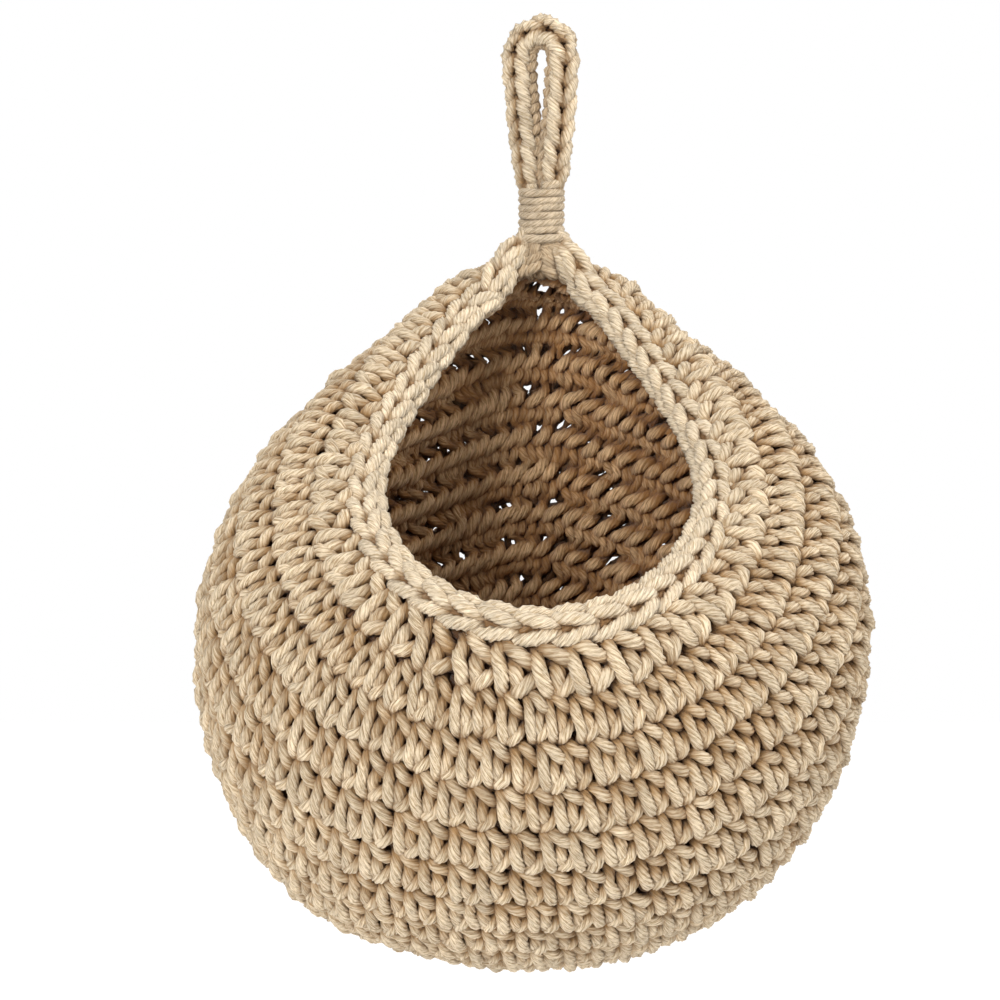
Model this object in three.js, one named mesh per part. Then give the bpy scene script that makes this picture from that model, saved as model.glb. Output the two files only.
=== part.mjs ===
// A hanging storage bag crocheted from cotton cord: a round basket worked in courses from its base to
// an edged teardrop mouth, hung by one point of its rim from a whipped neck and a strap loop.
// Millimetres and degrees. The origin is where a hook carries the loop, +Z is up, the mouth faces -Y
// and +Y points at the wall that the bag's back lies against.
import * as THREE from 'three';

// Bag wall
const wallThickness = 9.6;
const courseCount = 16;
const courseGap = 0.3;
const stationCount = 48;
const ringEvenings = 4;
const edgingEvenings = 6;
const lengthEvenings = 3;

// Bag body: a ball drawn up to a small round crown below the neck, and how much wider than that its
// shoulders and its crown are
const ballHalfWidth = 121.5;
const ballHalfDepth = 100;
const ballHalfHeight = 111.5;
const crownRadius = 24;
const crownRise = 119.8;
const crownSetback = 86;
const shoulderShare = 0.05;
const crownSpreadShare = 0.2;
const neckSpreadShare = 0.3;

// Base: the start of the work, low at the back
const baseTilt = 41;
const startHoleRadius = 2.5;

// Mouth, measured at the inner edge of its braided edging: its outline from the front, and how its sides
// run from the crown to the front rim seen from the side
const mouthHalfWidth = 60.5;
const mouthHalfHeight = 39;
const mouthTopHalfWidth = 20;
const mouthTopDrop = 3;
const mouthTopForward = 10;
const frontRimRise = 27;
const mouthSidePower = 1.5;
const layBackShare = 0.6;
const edgingWidth = 11;
const edgingThickness = 12;

// Strap loop
const eyeRadius = 5.5;
const eyeLength = 37;
const eyeFootRadius = 2.5;
const strapThickness = 10;
const strapWidth = 12;
const strapEdgeRadius = 2;
const loopTurn = -18;
const loopLength = 46.9;

// Neck: the strap's two ends, bound together
const neckRadius = 6.2;
const stemGap = 0.4;
const loopFootRadius = 8.5;
const swayClearance = 1.2;
const bindingCord = 2.8;
const bindingPitch = 3.3;
const bindingTurns = 6;
const bindingClearance = 0.3;
const bindingBelowStemTop = 1;
const stepsPerTurn = 24;
const bindingSides = 6;

// Gathered top of the bag below the binding
const gatherRadius = 4.5;
const gatherFootRadius = 5.5;
const gatherFootDrop = 5.9;
const swingClearance = 0.5;
const seatGap = 0.3;

const cottonColour = 0xcdb28c;
const gatherShade = 0.62;

// Heights down from the hook
const swayHeight = -loopLength;
const stemTop = swayHeight - loopFootRadius - swayClearance;
const bindingTop = stemTop - bindingBelowStemTop;
const bindingBottom = bindingTop - bindingTurns * bindingPitch - bindingCord;
const swingHeight = bindingBottom;
const stemBottom = swingHeight + gatherRadius + swingClearance;
const gatherBottom = swingHeight - gatherFootDrop;
const crownShare = crownRadius / ballHalfHeight;
const ballCentre = new THREE.Vector3(0, -crownSetback, 0);
const ballAxes = new THREE.Vector3(ballHalfWidth, ballHalfDepth, ballHalfHeight);

// The ball and crown are handled as round spheres in a space divided by the ball's half axes
const crownOffset = new THREE.Vector3(0, crownSetback, crownRise).divide(ballAxes);
const crownDistance = crownOffset.length();
const crownDirection = crownOffset.clone().normalize();
const coneNormalAngle = Math.acos((1 - crownShare) / crownDistance);
const crownEdgeAngle = Math.atan2(
  crownShare * Math.sin(coneNormalAngle),
  crownDistance + crownShare * Math.cos(coneNormalAngle),
);
const baseAngle = THREE.MathUtils.degToRad(baseTilt);
const baseDirection = new THREE.Vector3(0, Math.sin(baseAngle), -Math.cos(baseAngle));

// Radius of the drawn-up ball in a direction at the given angle from its crown
function dropRadius(angle) {
  if (angle < crownEdgeAngle) {
    const across = crownDistance * Math.sin(angle);
    return crownDistance * Math.cos(angle) + Math.sqrt(crownShare ** 2 - across ** 2);
  }
  if (angle < coneNormalAngle) {
    return 1 / Math.cos(coneNormalAngle - angle);
  }
  return 1;
}

// Radius of the wall in a unit direction: the drawn-up ball with full shoulders
function wallRadius(direction) {
  const shoulder = (2 * direction.x * Math.max(0, direction.z)) ** 2;
  return dropRadius(direction.angleTo(crownDirection)) * (1 + shoulderShare * shoulder);
}

// How far the wall is spread sideways at a height above the ball's centre
function spreadAt(height) {
  const rise = Math.max(0, height) / (crownRise + crownRadius);
  return 1 + crownSpreadShare * rise ** 4 + neckSpreadShare * rise ** 10;
}

// Point on the middle of the bag's wall in a unit direction of the divided space. The bag is made with
// its ball at height 0 and let down below the neck when its rings are there.
function wallPoint(direction) {
  const point = direction.clone().multiplyScalar(wallRadius(direction)).multiply(ballAxes);
  point.x *= spreadAt(point.z);
  return point.add(ballCentre);
}

// A line up the wall from the base's centre to one point of the mouth. Past the shoulder it lies back
// from the drawn-up ball, so that it ends on the mouth's edge.
class Meridian extends THREE.Curve {
  constructor(endDirection, setback) {
    super();
    this.endDirection = endDirection;
    this.setback = setback;
    this.span = baseDirection.angleTo(endDirection);
  }

  getPoint(t) {
    const direction = baseDirection.clone().multiplyScalar(Math.sin((1 - t) * this.span));
    direction.addScaledVector(this.endDirection, Math.sin(t * this.span)).normalize();
    const pastShoulder = Math.max(0, (t - layBackShare) / (1 - layBackShare));
    const point = wallPoint(direction);
    point.y += this.setback * pastShoulder ** 2;
    return point;
  }
}

// The mouth's inner edge seen from the front, about the ball's centre: two ovals and their tangents
const mouthTop = crownRise + crownRadius - mouthTopDrop;

function mouthOutline() {
  const topHalfHeight = (mouthTopHalfWidth * mouthHalfHeight) / mouthHalfWidth;
  const topCentre = mouthTop - topHalfHeight;
  const lowCentre = frontRimRise + mouthHalfHeight;
  const lean = Math.asin((mouthHalfHeight - topHalfHeight) / (topCentre - lowCentre));
  const path = new THREE.Path();
  path.absellipse(0, topCentre, mouthTopHalfWidth, topHalfHeight, Math.PI / 2, lean, true);
  path.absellipse(0, lowCentre, mouthHalfWidth, mouthHalfHeight, lean, -Math.PI - lean, true);
  path.absellipse(0, topCentre, mouthTopHalfWidth, topHalfHeight, Math.PI - lean, Math.PI / 2, true);
  return path.getSpacedPoints(stationCount).slice(0, stationCount);
}

// Depth of the wall's front, before it is spread, at a place seen from the front. It is found by halving.
function frontDepth(x, z) {
  let outside = -2 * ballHalfDepth;
  let inside = crownSetback * THREE.MathUtils.clamp(z / crownRise, 0, 1);
  for (let step = 0; step < 40; step += 1) {
    const middle = (outside + inside) / 2;
    const place = new THREE.Vector3(x, middle, z).divide(ballAxes);
    if (place.length() < wallRadius(place.clone().normalize())) {
      inside = middle;
    } else {
      outside = middle;
    }
  }
  return inside;
}

function makeMeridians() {
  const frontEdge = frontDepth(0, frontRimRise);
  const topEdge = crownSetback - mouthTopForward;
  return mouthOutline().map((point) => {
    const fall = THREE.MathUtils.clamp((mouthTop - point.y) / (mouthTop - frontRimRise), 0, 1);
    const edge = topEdge + (frontEdge - topEdge) * fall ** mouthSidePower;
    const x = point.x / spreadAt(point.y);
    const front = frontDepth(x, point.y);
    const direction = new THREE.Vector3(x, front, point.y).divide(ballAxes).normalize();
    return new Meridian(direction, Math.max(0, edge - front));
  });
}

// Evens out a row of numbers per station along the ring, as taut cord does
function evened(rows, times) {
  let ring = rows;
  for (let time = 0; time < times; time += 1) {
    const last = ring;
    ring = last.map((row, station) => {
      const before = last[(station + stationCount - 1) % stationCount];
      const after = last[(station + 1) % stationCount];
      return row.map((value, place) => (before[place] + 2 * value + after[place]) / 4);
    });
  }
  return ring;
}

const meridians = makeMeridians();
const lengths = meridians.map((meridian) => meridian.getLength());
const evenLengths = evened(lengths.map((length) => [length]), lengthEvenings).map(([length]) => length);

// Point at a distance up a meridian, moved out from the middle of the wall
function wallPlace(station, distance, out) {
  const share = distance / lengths[station];
  const next = (station + 1) % stationCount;
  const previous = (station + stationCount - 1) % stationCount;
  const point = meridians[station].getPointAt(share);
  const across = meridians[next].getPointAt(share).sub(meridians[previous].getPointAt(share));
  const normal = meridians[station].getTangentAt(share).cross(across).normalize();
  if (normal.dot(point.clone().sub(ballCentre)) < 0) {
    normal.negate();
  }
  return point.addScaledVector(normal, out);
}

// Sections of the rings: each corner has a share of the height and of the half thickness
const courseSection = [[0, -0.6], [0.5, -1], [1, -0.6], [1, 0.6], [0.5, 1], [0, 0.6]];
const edgingSection = [
  [0.02, -0.15], [0.18, -0.6], [0.36, -0.9], [0.58, -1], [0.86, -0.6],
  [1, 0], [0.86, 0.6], [0.58, 1], [0.36, 0.9], [0.18, 0.6], [0.02, 0.15],
];

// Closed ring through a row of corner places per station
function ringGeometry(section, rows) {
  const corners = section.length;
  const indices = [];
  for (let station = 0; station < stationCount; station += 1) {
    const here = station * corners;
    const there = ((station + 1) % stationCount) * corners;
    for (let corner = 0; corner < corners; corner += 1) {
      const after = (corner + 1) % corners;
      // Neighbouring courses are split along the same diagonals, so that their facing sides stay parallel
      if (section[after][1] > section[corner][1]) {
        indices.push(here + corner, there + corner, here + after);
        indices.push(here + after, there + corner, there + after);
      } else {
        indices.push(here + corner, there + corner, there + after);
        indices.push(here + corner, there + after, here + after);
      }
    }
  }
  const geometry = new THREE.BufferGeometry();
  geometry.setAttribute('position', new THREE.Float32BufferAttribute(rows.flat(), 3));
  geometry.setIndex(indices);
  geometry.computeVertexNormals();
  return geometry;
}

// Distance up a meridian to the top of a course. The courses are evened out away from the mouth.
function courseTop(station, course) {
  const share = course / courseCount;
  const length = THREE.MathUtils.lerp(evenLengths[station], lengths[station], share ** 4);
  return startHoleRadius + (length - startHoleRadius - edgingWidth - courseGap) * share;
}

function courseGeometry(course) {
  const rows = lengths.map((_, station) => {
    const start = courseTop(station, course - 1) + courseGap / 2;
    const end = courseTop(station, course) - courseGap / 2;
    return courseSection.flatMap(([rise, out]) => (
      wallPlace(station, start + (end - start) * rise, (out * wallThickness) / 2).toArray()
    ));
  });
  return ringGeometry(courseSection, evened(rows, ringEvenings));
}

// The edging is carried on the top of the last course, square to its own evened direction
function edgingGeometry() {
  const foot = lengths.map((length, station) => wallPlace(station, length - edgingWidth, 0));
  const edge = lengths.map((length, station) => wallPlace(station, length, 0));
  const face = lengths.map((length, station) => wallPlace(station, length - edgingWidth, 1));
  const feet = evened(foot.map((point) => point.toArray()), ringEvenings);
  const rises = evened(edge.map((point, station) => point.sub(foot[station]).toArray()), edgingEvenings);
  const outs = evened(face.map((point, station) => point.sub(foot[station]).toArray()), edgingEvenings);
  const rows = feet.map((place, station) => {
    const up = new THREE.Vector3(...rises[station]).normalize();
    const facing = new THREE.Vector3(...outs[station]);
    facing.addScaledVector(up, -facing.dot(up)).normalize();
    return edgingSection.flatMap(([rise, out]) => (
      new THREE.Vector3(...place)
        .addScaledVector(up, rise * edgingWidth)
        .addScaledVector(facing, (out * edgingThickness) / 2)
        .toArray()
    ));
  });
  return ringGeometry(edgingSection, rows);
}

// The bag's rings by name, let down so that their highest point is just below the gathered top
function bagRings() {
  const rings = new Map([['mouth_edging', edgingGeometry()]]);
  for (let course = 1; course <= courseCount; course += 1) {
    const name = course === 1 ? 'base_start' : `course_${String(course).padStart(2, '0')}`;
    rings.set(name, courseGeometry(course));
  }
  let top = -Infinity;
  for (const geometry of rings.values()) {
    geometry.computeBoundingBox();
    top = Math.max(top, geometry.boundingBox.max.z);
  }
  for (const geometry of rings.values()) {
    geometry.translate(0, 0, gatherBottom - seatGap - top);
  }
  console.log(`ball centre at ${(gatherBottom - seatGap - top).toFixed(1)} mm`);
  return rings;
}

// Outline of two circles and their tangents, one above the other
function capsuleOutline(outline, topRadius, topHeight, footRadius, footHeight) {
  const lean = Math.asin((topRadius - footRadius) / (topHeight - footHeight));
  outline.absarc(0, topHeight, topRadius, -lean, Math.PI + lean, false);
  outline.absarc(0, footHeight, footRadius, Math.PI + lean, 2 * Math.PI - lean, false);
  outline.closePath();
  return outline;
}

function loopGeometry() {
  const crownHeight = -eyeRadius;
  const shape = capsuleOutline(
    new THREE.Shape(), eyeRadius + strapThickness, crownHeight, loopFootRadius, swayHeight,
  );
  shape.holes.push(capsuleOutline(
    new THREE.Path(), eyeRadius, crownHeight, eyeFootRadius, eyeFootRadius - eyeLength,
  ));
  const geometry = new THREE.ExtrudeGeometry(shape, {
    depth: strapWidth - 2 * strapEdgeRadius,
    curveSegments: 10,
    bevelThickness: strapEdgeRadius,
    bevelSize: strapEdgeRadius,
    bevelOffset: -strapEdgeRadius,
    bevelSegments: 2,
  });
  geometry.translate(0, 0, strapEdgeRadius - strapWidth / 2);
  geometry.rotateX(Math.PI / 2);
  return geometry;
}

// Half-round end of the strap inside the binding
function stemGeometry(side) {
  const shape = new THREE.Shape();
  const flat = stemGap / 2;
  const edgeAngle = Math.acos(flat / neckRadius);
  shape.absarc(0, 0, neckRadius, -edgeAngle, edgeAngle, false);
  shape.closePath();
  const geometry = new THREE.ExtrudeGeometry(shape, {
    depth: stemTop - stemBottom,
    curveSegments: 10,
    bevelEnabled: false,
  });
  if (side < 0) {
    geometry.rotateZ(Math.PI);
  }
  geometry.translate(0, 0, stemBottom);
  return geometry;
}

// Binding: one helix round the stems, with a straight end of one cord diameter at each end
class Binding extends THREE.Curve {
  constructor() {
    super();
    this.radius = neckRadius + bindingClearance + bindingCord / 2;
    this.turn = 2 * Math.PI * bindingTurns;
    this.slope = bindingPitch / (2 * Math.PI);
    this.endTurn = bindingCord / Math.hypot(this.radius, this.slope);
  }

  helix(angle) {
    const height = bindingBottom + bindingCord / 2 + this.slope * angle;
    return new THREE.Vector3(this.radius * Math.sin(angle), this.radius * Math.cos(angle), height);
  }

  heading(angle) {
    return new THREE.Vector3(
      this.radius * Math.cos(angle), -this.radius * Math.sin(angle), this.slope,
    );
  }

  getPoint(t) {
    const angle = t * (this.turn + 2 * this.endTurn) - this.endTurn;
    const onHelix = THREE.MathUtils.clamp(angle, 0, this.turn);
    return this.helix(onHelix).addScaledVector(this.heading(onHelix), angle - onHelix);
  }
}

const binding = new Binding();
const bindingSteps = bindingTurns * stepsPerTurn + 2;

function bindingGeometry() {
  const section = new THREE.Shape();
  for (let side = 0; side < bindingSides; side += 1) {
    const angle = (2 * Math.PI * side) / bindingSides;
    const x = (bindingCord / 2) * Math.cos(angle);
    const y = (bindingCord / 2) * Math.sin(angle);
    if (side === 0) {
      section.moveTo(x, y);
    } else {
      section.lineTo(x, y);
    }
  }
  section.closePath();
  return new THREE.ExtrudeGeometry(section, {
    steps: bindingSteps,
    extrudePath: binding,
    bevelEnabled: false,
  });
}

// Least gap between one turn of the binding and the next
function bindingGap() {
  const points = binding.getSpacedPoints(bindingSteps);
  let least = Infinity;
  for (let first = 0; first < points.length; first += 1) {
    for (let second = first + stepsPerTurn / 2; second < points.length; second += 1) {
      least = Math.min(least, points[first].distanceTo(points[second]));
    }
  }
  return least - bindingCord;
}

// Gathered cord between the binding and the crown, round about the swing axis
function gatherGeometry() {
  const profile = [new THREE.Vector2(0, gatherBottom), new THREE.Vector2(gatherFootRadius, gatherBottom)];
  const arcSteps = 6;
  for (let step = 0; step <= arcSteps; step += 1) {
    const angle = (Math.PI / 2) * (step / arcSteps);
    const radius = step === arcSteps ? 0 : gatherRadius * Math.cos(angle);
    profile.push(new THREE.Vector2(radius, swingHeight + gatherRadius * Math.sin(angle)));
  }
  return new THREE.LatheGeometry(profile, 20).rotateX(Math.PI / 2);
}

function cottonMaterial(shade) {
  const colour = new THREE.Color(cottonColour).multiplyScalar(shade);
  return new THREE.MeshStandardMaterial({ color: colour, roughness: 0.95, metalness: 0 });
}

function addPiece(group, name, geometry, shade = 1) {
  const mesh = new THREE.Mesh(geometry, cottonMaterial(shade));
  mesh.name = name;
  group.add(mesh);
  return mesh;
}

const bag = new THREE.Group();
addPiece(bag, 'hanging_loop', loopGeometry()).rotation.z = THREE.MathUtils.degToRad(loopTurn);
addPiece(bag, 'stem_right', stemGeometry(1));
addPiece(bag, 'stem_left', stemGeometry(-1));
addPiece(bag, 'neck_binding', bindingGeometry());
addPiece(bag, 'neck_gather', gatherGeometry(), gatherShade);
for (const [name, geometry] of bagRings()) {
  addPiece(bag, name, geometry);
}

console.log(`binding: least gap between turns ${bindingGap().toFixed(2)} mm`);

export default bag;
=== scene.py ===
import math

import bpy
import numpy as np
from mathutils import Euler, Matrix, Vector


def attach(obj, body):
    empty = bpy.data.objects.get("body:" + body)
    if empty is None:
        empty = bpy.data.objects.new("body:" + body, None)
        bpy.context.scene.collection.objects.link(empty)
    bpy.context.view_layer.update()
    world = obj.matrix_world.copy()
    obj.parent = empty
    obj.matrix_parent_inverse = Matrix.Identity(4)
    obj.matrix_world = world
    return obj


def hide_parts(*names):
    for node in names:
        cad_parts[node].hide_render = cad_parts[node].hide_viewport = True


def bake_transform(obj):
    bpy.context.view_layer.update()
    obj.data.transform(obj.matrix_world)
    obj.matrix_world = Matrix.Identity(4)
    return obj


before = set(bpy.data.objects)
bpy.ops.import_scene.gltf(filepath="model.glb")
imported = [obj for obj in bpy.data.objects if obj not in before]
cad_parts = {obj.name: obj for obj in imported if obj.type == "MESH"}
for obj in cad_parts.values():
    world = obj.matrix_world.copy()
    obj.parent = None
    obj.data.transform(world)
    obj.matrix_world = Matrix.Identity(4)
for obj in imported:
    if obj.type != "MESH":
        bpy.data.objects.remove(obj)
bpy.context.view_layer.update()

MM = 0.001

# Sizes of the bag as in the CAD part, in millimetres, degrees and shares
BALL_AXES = np.array([121.5, 100.0, 111.5])
CROWN_RADIUS = 24.0
CROWN_RISE = 119.8
CROWN_SETBACK = 86.0
SHOULDER_SHARE = 0.05
CROWN_SPREAD_SHARE = 0.2
NECK_SPREAD_SHARE = 0.3
BASE_TILT = 41.0
START_HOLE = 2.5
COURSES = 16
MOUTH_HALF_WIDTH = 60.5
MOUTH_HALF_HEIGHT = 39.0
MOUTH_TOP_HALF_WIDTH = 20.0
MOUTH_TOP_DROP = 3.0
MOUTH_TOP_FORWARD = 10.0
FRONT_RIM_RISE = 27.0
MOUTH_SIDE_POWER = 1.5
LAY_BACK_SHARE = 0.6
EDGING_WIDTH = 11.0
BINDING_TOP = -57.6
SWING_HEIGHT = -80.2
EYE_RADIUS = 5.5
LOOP_TURN = -18.0
BALL_CENTRE = np.array([0.0, -CROWN_SETBACK, -232.6])

# How far rings are evened out, in stations along them
RING_EVENING = 8.5
EDGING_EVENING = 10.4
LENGTH_EVENING = 7.3

# How the soft bag in the photograph is off its even shape: it leans a little, its left side is fuller,
# most of all low down, and its right side is slimmer at the middle
LEAN = 0.02
LEFT_FULLNESS = 1.0
LOW_LEFT_FULLNESS = 6.0
MOUTH_LEFT_FULLNESS = 1.5
RIGHT_SLIMNESS = 3.5
BASE_LIFT = 1.5
# Where that fades in, in millimetres sideways and in height from the ball's centre
SIDE_FADE = (10, 70)
LOW_FADE = (45, 95)
BASE_FADE = (70, 110)
MOUTH_FADE = (0, 20)
MOUTH_BAND_HEIGHT = 118
MOUTH_BAND_REACH = 26
WAIST_BAND_HEIGHT = -30
WAIST_BAND_REACH = 50

# Camera at the photograph's viewing angle: the ball's centre falls at a set place in the picture
ELEVATION = math.radians(5)
DISTANCE = 950.0
SCALE = 0.37
RIGHT_OF_CENTRE = 44.6
BELOW_CENTRE = 155.0
forward = np.array([0, math.cos(ELEVATION), -math.sin(ELEVATION)])
upward = np.array([0, math.sin(ELEVATION), math.cos(ELEVATION)])
EYE = BALL_CENTRE - DISTANCE * forward + BELOW_CENTRE * SCALE * upward
EYE[0] -= RIGHT_OF_CENTRE * SCALE

# Cord: plies round it, sides of the tube for each ply, and length of one turn of its twist in millimetres.
# Groove depth and unevenness of the plies are shares of the radius. Painted shade for the crevices darkens
# the colour inwards from the sheath, this many millimetres off the fabric's middle.
PLIES = 7
SIDES_PER_PLY = 3
PLY_LEAD = 19.0
GROOVE_DEPTH = 0.16
PLY_UNEVENNESS = 0.09
SHADE_SHEATH = 7.0
TONE_RANGE = (0.9, 1.08)
FIBRE_OFFSETS = 400
ODD_DIRECTION = np.array([0.31, 0.52, 0.79])

# Stitches in each course, from the base to the mouth, and length of a link of the edging and of the strap
STITCHES = [8, 17, 26, 35, 43, 50, 56, 61, 65, 67, 69, 72, 76, 82, 86, 46]
EDGING_PITCH = 12.4
STRAP_PITCH = 8.3


def unit(v):
    return v / np.linalg.norm(v, axis=-1, keepdims=True)


# The bag's surface

def smooth_step(value, low, high):
    share = np.clip((value - low) / (high - low), 0, 1)
    return share * share * (3 - 2 * share)


def settled(points):
    """Moves points of the even bag to where the soft bag hangs."""
    x = points[..., 0]
    height = points[..., 2] - BALL_CENTRE[2]
    left = smooth_step(-x, *SIDE_FADE)
    fuller = LEFT_FULLNESS + LOW_LEFT_FULLNESS * smooth_step(-height, *LOW_FADE)
    mouth_band = np.exp(-((height - MOUTH_BAND_HEIGHT) / MOUTH_BAND_REACH) ** 2)
    beside_mouth = MOUTH_LEFT_FULLNESS * smooth_step(-x, *MOUTH_FADE) * mouth_band
    waist_band = np.exp(-((height - WAIST_BAND_HEIGHT) / WAIST_BAND_REACH) ** 2)
    slimmer = RIGHT_SLIMNESS * smooth_step(x, *SIDE_FADE) * waist_band
    moved = points.copy()
    moved[..., 0] = x + LEAN * (points[..., 2] - SWING_HEIGHT) - left * fuller - beside_mouth - slimmer
    moved[..., 2] += BASE_LIFT * smooth_step(-height, *BASE_FADE)
    return moved


class BagSurface:
    """The middle of the bag's wall. A place on it is a course number, counted from the base, and a
    station round the mouth, counted from the crown clockwise seen from the front."""

    STEPS = 8
    CORNER_SAMPLES = 60
    ROUND_SAMPLES = 400
    MERIDIAN_SAMPLES = 300
    HALVINGS = 40

    def __init__(self, stations=288):
        self.stations = stations
        offset = np.array([0.0, CROWN_SETBACK, CROWN_RISE]) / BALL_AXES
        self.crown_distance = np.linalg.norm(offset)
        self.crown_direction = offset / self.crown_distance
        self.crown_share = CROWN_RADIUS / BALL_AXES[2]
        self.cone_angle = math.acos((1 - self.crown_share) / self.crown_distance)
        self.crown_edge = math.atan2(
            self.crown_share * math.sin(self.cone_angle),
            self.crown_distance + self.crown_share * math.cos(self.cone_angle),
        )
        tilt = math.radians(BASE_TILT)
        self.base = np.array([0.0, math.sin(tilt), -math.cos(tilt)])
        self.make_meridians()
        self.make_grid()

    def radius(self, direction):
        angle = np.arccos(np.clip(direction @ self.crown_direction, -1, 1))
        across = self.crown_distance * np.sin(angle)
        crown = self.crown_distance * np.cos(angle)
        crown = crown + np.sqrt(np.maximum(0, self.crown_share ** 2 - across ** 2))
        cone = 1 / np.cos(np.maximum(0, self.cone_angle - angle))
        shoulder = (2 * direction[..., 0] * np.maximum(0, direction[..., 2])) ** 2
        return np.where(angle < self.crown_edge, crown, cone) * (1 + SHOULDER_SHARE * shoulder)

    def spread(self, height):
        rise = np.maximum(0, height) / (CROWN_RISE + CROWN_RADIUS)
        return 1 + CROWN_SPREAD_SHARE * rise ** 4 + NECK_SPREAD_SHARE * rise ** 10

    def mouth_outline(self):
        top = CROWN_RISE + CROWN_RADIUS - MOUTH_TOP_DROP
        low_centre = FRONT_RIM_RISE + MOUTH_HALF_HEIGHT
        small = MOUTH_TOP_HALF_WIDTH / MOUTH_HALF_WIDTH
        height = (top - low_centre) / MOUTH_HALF_HEIGHT - small
        lean = math.asin((1 - small) / height)
        first = np.linspace(math.pi / 2, lean, self.CORNER_SAMPLES)
        round_low = np.linspace(lean, -math.pi - lean, self.ROUND_SAMPLES)
        last = np.linspace(math.pi - lean, math.pi / 2, self.CORNER_SAMPLES)
        path = np.vstack([
            np.stack([small * np.cos(first), height + small * np.sin(first)], 1),
            np.stack([np.cos(round_low), np.sin(round_low)], 1),
            np.stack([small * np.cos(last), height + small * np.sin(last)], 1),
        ])
        path = path * np.array([MOUTH_HALF_WIDTH, MOUTH_HALF_HEIGHT]) + np.array([0, low_centre])
        length = np.concatenate([[0], np.cumsum(np.linalg.norm(np.diff(path, axis=0), axis=1))])
        at = np.linspace(0, length[-1], self.stations, endpoint=False)
        return np.interp(at, length, path[:, 0]), np.interp(at, length, path[:, 1]), top

    def make_meridians(self):
        x, z, top = self.mouth_outline()
        x = x / self.spread(z)
        fall = np.clip((top - z) / (top - FRONT_RIM_RISE), 0, 1)
        front_edge = -BALL_AXES[1] * math.sqrt(1 - (FRONT_RIM_RISE / BALL_AXES[2]) ** 2)
        top_edge = CROWN_SETBACK - MOUTH_TOP_FORWARD
        edge = top_edge + (front_edge - top_edge) * fall ** MOUTH_SIDE_POWER
        outside = np.full(len(x), -2 * BALL_AXES[1])
        inside = CROWN_SETBACK * np.clip(z / CROWN_RISE, 0, 1)
        for _ in range(self.HALVINGS):
            middle = (outside + inside) / 2
            place = np.stack([x, middle, z], 1) / BALL_AXES
            size = np.linalg.norm(place, axis=1)
            within = size < self.radius(place / size[:, None])
            inside = np.where(within, middle, inside)
            outside = np.where(within, outside, middle)
        self.setback = np.maximum(0, edge - inside)
        self.ends = unit(np.stack([x, inside, z], 1) / BALL_AXES)

    def meridian(self, station):
        span = math.acos(float(self.ends[station] @ self.base))
        t = np.linspace(0, 1, self.MERIDIAN_SAMPLES)
        direction = np.sin((1 - t) * span)[:, None] * self.base
        direction = unit(direction + np.sin(t * span)[:, None] * self.ends[station])
        points = direction * self.radius(direction)[:, None] * BALL_AXES
        points[:, 0] *= self.spread(points[:, 2])
        past = np.clip((t - LAY_BACK_SHARE) / (1 - LAY_BACK_SHARE), 0, 1)
        points[:, 1] += self.setback[station] * past ** 2
        length = np.concatenate([[0], np.cumsum(np.linalg.norm(np.diff(points, axis=0), axis=1))])
        return points, length

    def evened(self, rings, reach):
        """Evens out rings (rows x stations x values) along the stations, as taut cord does."""
        turns = np.fft.rfftfreq(self.stations)
        keep = np.exp(-2 * (math.pi * reach * turns) ** 2)
        return np.fft.irfft(np.fft.rfft(rings, axis=1) * keep[None, :, None], self.stations, axis=1)

    def make_grid(self):
        meridians = [self.meridian(station) for station in range(self.stations)]
        lengths = np.array([length[-1] for _, length in meridians])
        even_lengths = self.evened(lengths[None, :, None], LENGTH_EVENING)[0, :, 0]
        course = np.arange(COURSES * self.STEPS + 1) / self.STEPS
        share = course / COURSES
        wall = np.zeros((len(course), self.stations, 3))
        edge = np.zeros((1, self.stations, 3))
        for station, (points, length) in enumerate(meridians):
            full = even_lengths[station] + (lengths[station] - even_lengths[station]) * share ** 4
            distance = START_HOLE + (full - START_HOLE - EDGING_WIDTH) * share
            for axis in range(3):
                wall[:, station, axis] = np.interp(distance, length, points[:, axis])
            edge[0, station] = points[-1]
        rise = unit(self.evened(edge - wall[-1:], EDGING_EVENING))
        wall = self.evened(wall, RING_EVENING)
        above = np.arange(1, self.STEPS + 1)[:, None, None] / self.STEPS
        grid = np.concatenate([wall, wall[-1:] + rise * above * EDGING_WIDTH])
        across = np.roll(grid, -1, 1) - np.roll(grid, 1, 1)
        normal = unit(np.cross(np.gradient(grid, axis=0), across))
        inwards = np.sum(normal * grid, -1, keepdims=True) < 0
        normal = np.where(inwards, -normal, normal)
        self.normal = unit(self.evened(normal, RING_EVENING))
        self.grid = settled(grid + BALL_CENTRE)

    def look_up(self, table, course, station):
        row = np.clip(course * self.STEPS, 0, len(table) - 1.001)
        low = row.astype(int)
        share = (row - low)[..., None]
        left = np.floor(station).astype(int)
        beside = (station - left)[..., None]
        left = left % self.stations
        right = (left + 1) % self.stations
        lower = table[low, left] * (1 - beside) + table[low, right] * beside
        upper = table[low + 1, left] * (1 - beside) + table[low + 1, right] * beside
        return lower * (1 - share) + upper * share

    def place(self, course, station, out):
        point = self.look_up(self.grid, course, station)
        normal = unit(self.look_up(self.normal, course, station))
        return point + normal * out[..., None], normal

    def lengths_round(self, course):
        row = self.grid[int(round(course * self.STEPS))]
        step = np.linalg.norm(np.roll(row, -1, 0) - row, axis=1)
        return np.concatenate([[0], np.cumsum(step)])

    def ring_length(self, course):
        return self.lengths_round(course)[-1]

    def round_stations(self, course, shares):
        """Stations at the given shares of the way round a course, to the right seen from outside."""
        length = self.lengths_round(course)
        turns = np.floor(1 - shares)
        at = np.interp((1 - shares - turns) * length[-1], length, np.arange(self.stations + 1))
        return at + turns * self.stations


# Twisted cord

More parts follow.
